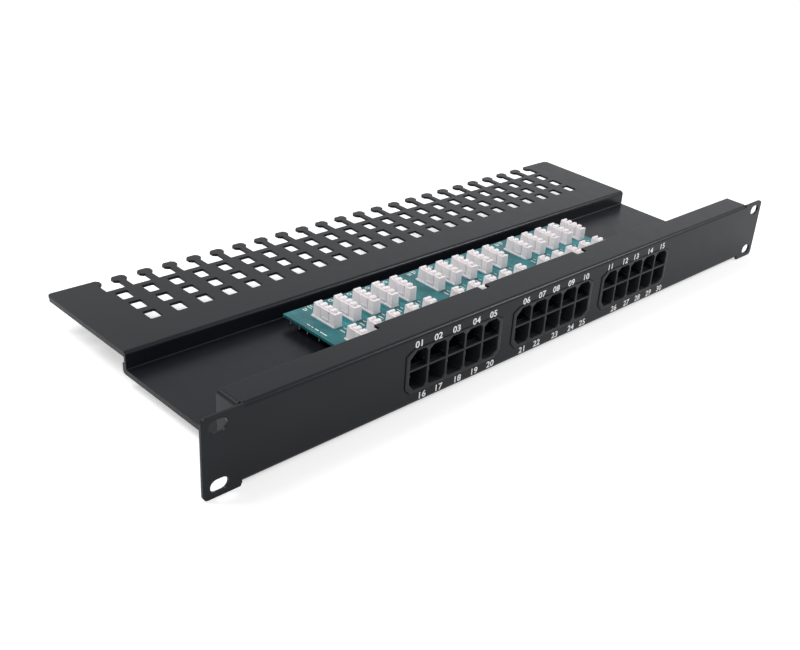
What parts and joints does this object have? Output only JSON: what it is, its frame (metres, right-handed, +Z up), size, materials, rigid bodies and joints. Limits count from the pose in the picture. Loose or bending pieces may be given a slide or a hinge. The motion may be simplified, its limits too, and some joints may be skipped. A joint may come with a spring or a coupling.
{
  "type": "telephone patch panel",
  "caption": "Rack-mounted telephone patch panel: folded black steel panel with rows of jack ports in front, punch-down contact blocks on a board behind and a slotted cable shelf.",
  "frame": {"origin": "middle of the front face of the panel, in the middle of its four mounting slots", "axes": "+X to the right along the panel as seen from the front, +Y from the front face back into the rack, +Z up"},
  "size_m": [0.4826, 0.1902, 0.044],
  "materials": {
    "powder_coated_steel": "satin black powder coat",
    "jack_housing_black": "moulded, satin",
    "jack_insert_grey": "moulded, matt",
    "gold_wire": "gold plated",
    "circuit_board_green": "solder resist over glass-fibre laminate",
    "idc_block_white": "moulded, satin",
    "tinned_bronze": "tin plated",
    "spacer_nylon": "moulded, natural"
  },
  "bodies": {
    "root": {"board_spacers": "spacer_nylon", "chassis": "powder_coated_steel", "circuit_board": "circuit_board_green", "idc_blades_front_left": "tinned_bronze", "idc_blades_front_middle": "tinned_bronze", "idc_blades_front_right": "tinned_bronze", "idc_blades_rear_left": "tinned_bronze", "idc_blades_rear_middle": "tinned_bronze", "idc_blades_rear_right": "tinned_bronze", "idc_block_01": "idc_block_white", "idc_block_02": "idc_block_white", "idc_block_03": "idc_block_white", "idc_block_04": "idc_block_white", "idc_block_05": "idc_block_white", "idc_block_06": "idc_block_white", "idc_block_07": "idc_block_white", "idc_block_08": "idc_block_white", "idc_block_09": "idc_block_white", "idc_block_10": "idc_block_white", "idc_block_11": "idc_block_white", "idc_block_12": "idc_block_white", "idc_block_13": "idc_block_white", "idc_block_14": "idc_block_white", "idc_block_15": "idc_block_white", "idc_block_16": "idc_block_white", "idc_block_17": "idc_block_white", "idc_block_18": "idc_block_white", "idc_block_19": "idc_block_white", "idc_block_20": "idc_block_white", "idc_block_21": "idc_block_white", "idc_block_22": "idc_block_white", "idc_block_23": "idc_block_white", "idc_block_24": "idc_block_white", "idc_block_25": "idc_block_white", "idc_block_26": "idc_block_white", "idc_block_27": "idc_block_white", "idc_block_28": "idc_block_white", "idc_block_29": "idc_block_white", "idc_block_30": "idc_block_white", "jack_housing_left": "jack_housing_black", "jack_housing_middle": "jack_housing_black", "jack_housing_right": "jack_housing_black", "jack_insert_left": "jack_insert_grey", "jack_insert_middle": "jack_insert_grey", "jack_insert_right": "jack_insert_grey", "jack_wires_left": "gold_wire", "jack_wires_middle": "gold_wire", "jack_wires_right": "gold_wire"}
  },
  "joints": []
}
